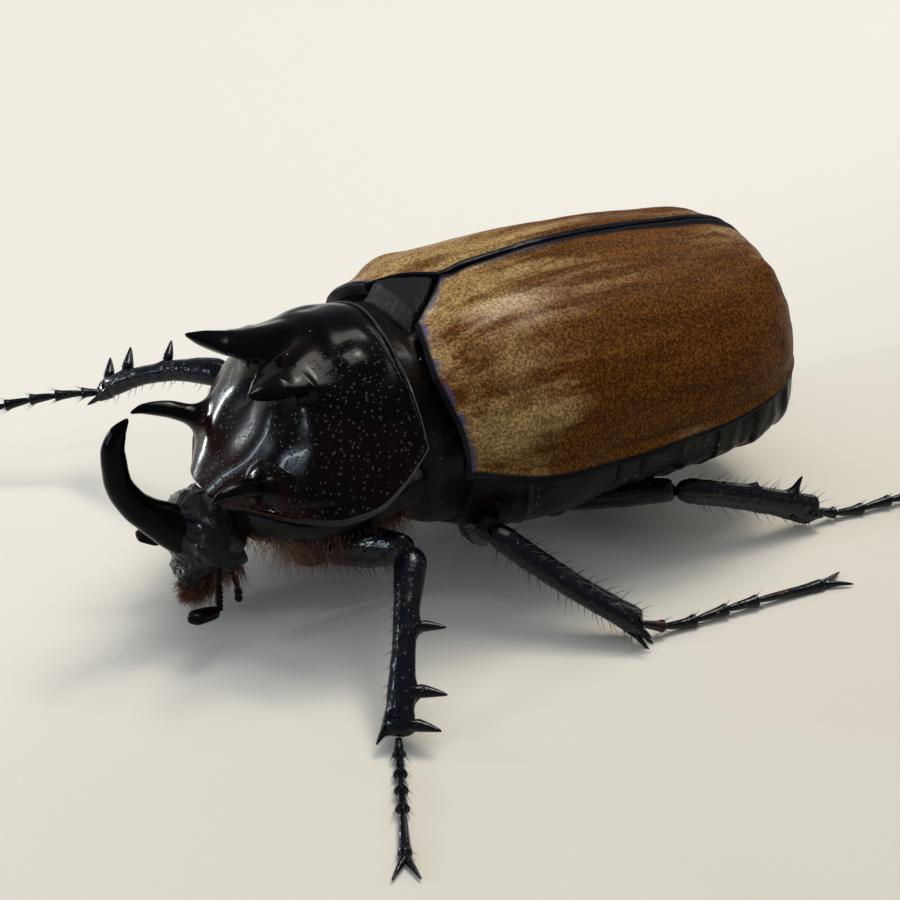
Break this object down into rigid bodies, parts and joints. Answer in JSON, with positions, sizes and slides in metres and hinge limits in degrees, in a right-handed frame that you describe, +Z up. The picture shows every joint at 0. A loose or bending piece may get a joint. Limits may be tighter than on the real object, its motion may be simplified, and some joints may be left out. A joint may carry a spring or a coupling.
{
  "type": "rhinoceros beetle",
  "caption": "Life-size horned rhinoceros beetle standing with a front leg raised: domed brown wing cases, a glossy black horned shield and a curved horn on the head.",
  "frame": {"origin": "on the floor under the middle of the whole model's box", "axes": "+Z up, the head towards -Y, the beetle's left side towards +X"},
  "size_m": [0.0718, 0.0844, 0.0269],
  "materials": {
    "wing_case": "glossy brown horn-like shell, densely pitted, with a dark seam and borders",
    "black_shell": "glossy black shell with sparse fine pits",
    "mouth_and_feelers": "satin dark reddish brown",
    "eye": "glossy black"
  },
  "bodies": {
    "root": {"elytron_left": "wing_case", "elytron_right": "wing_case", "pronotum": "black_shell", "horn_rear_left": "black_shell", "horn_rear_right": "black_shell", "horn_front_left": "black_shell", "horn_front_right": "black_shell", "prosternum": "black_shell", "mesothorax": "black_shell", "metathorax": "black_shell", "abdomen": "black_shell", "pygidium": "black_shell", "scutellum": "black_shell", "head": "black_shell", "eye_left": "eye", "eye_right": "eye", "horn_head": "black_shell", "mouthparts": "mouth_and_feelers", "palp_left": "mouth_and_feelers", "palp_right": "mouth_and_feelers", "antenna_left": "mouth_and_feelers", "antenna_right": "mouth_and_feelers", "coxa_fore_left": "black_shell", "femur_fore_left": "black_shell", "tibia_fore_left": "black_shell", "tarsus_fore_left": "black_shell", "coxa_fore_right": "black_shell", "femur_fore_right": "black_shell", "tibia_fore_right": "black_shell", "tarsus_fore_right": "black_shell", "coxa_mid_left": "black_shell", "femur_mid_left": "black_shell", "tibia_mid_left": "black_shell", "tarsus_mid_left": "black_shell", "coxa_mid_right": "black_shell", "femur_mid_right": "black_shell", "tibia_mid_right": "black_shell", "tarsus_mid_right": "black_shell", "coxa_hind_left": "black_shell", "femur_hind_left": "black_shell", "tibia_hind_left": "black_shell", "tarsus_hind_left": "black_shell", "coxa_hind_right": "black_shell", "femur_hind_right": "black_shell", "tibia_hind_right": "black_shell", "tarsus_hind_right": "black_shell"}
  },
  "joints": []
}
